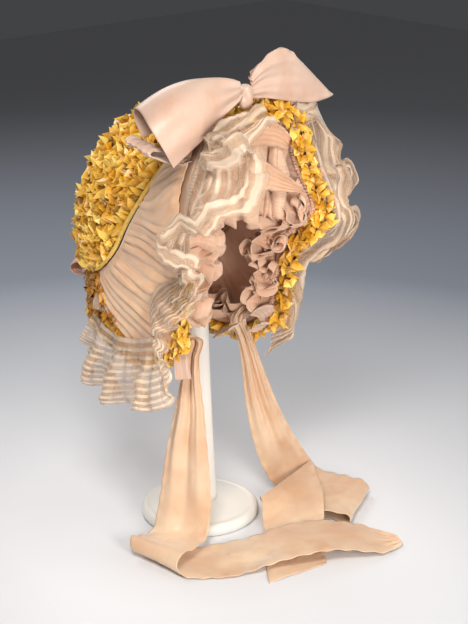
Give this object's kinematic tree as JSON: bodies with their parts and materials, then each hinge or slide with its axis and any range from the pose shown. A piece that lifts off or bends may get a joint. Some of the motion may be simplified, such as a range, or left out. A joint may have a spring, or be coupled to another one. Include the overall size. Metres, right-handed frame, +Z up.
{
  "type": "poke bonnet on a display stand",
  "caption": "Golden straw poke bonnet with a pink pleated drape, ivory organza ruffle, peach satin bow and long ribbon ties, on a plain white display stand.",
  "frame": {"origin": "centre of the stand's foot, on the floor", "axes": "+Z up along the stand's post; the bonnet faces -Y and the wearer's left is +X"},
  "size_m": [0.3552, 0.4468, 0.6163],
  "materials": {
    "straw": "folded golden straw braid, satin sheen",
    "dusty_pink_chiffon": "pleated sheer cloth, matt",
    "faded_pink_lining": "aged lining cloth, matt",
    "ivory_organza": "sheer organza with satin stripes",
    "pink_chiffon": "gathered chiffon, matt",
    "peach_satin": "satin ribbon, soft gloss",
    "stand_enamel": "off-white paint, satin"
  },
  "bodies": {
    "root": {"stand_base": "stand_enamel", "stand_post": "stand_enamel", "stand_pad": "stand_enamel", "crown": "straw", "crown_lining": "faded_pink_lining", "crown_edge_braid": "straw", "brim": "straw", "brim_drape": "dusty_pink_chiffon", "brim_facing": "pink_chiffon", "brim_ruching": "pink_chiffon", "ruffle_right": "ivory_organza", "ruffle_left": "ivory_organza", "face_frill_right": "pink_chiffon", "face_frill_left": "pink_chiffon", "face_frill_top": "pink_chiffon", "face_frill_lower": "pink_chiffon", "bow_knot": "peach_satin", "bow_loop_right": "peach_satin", "bow_loop_left": "peach_satin", "bow_under_loop": "peach_satin", "face_ribbon_fold": "peach_satin", "face_ribbon_end": "peach_satin", "short_ribbon_end": "peach_satin", "nape_loop": "peach_satin", "nape_ribbon_end": "peach_satin", "chin_loop": "peach_satin", "chin_ribbon_end": "peach_satin", "tie_right": "peach_satin", "tie_left": "peach_satin"}
  },
  "joints": []
}
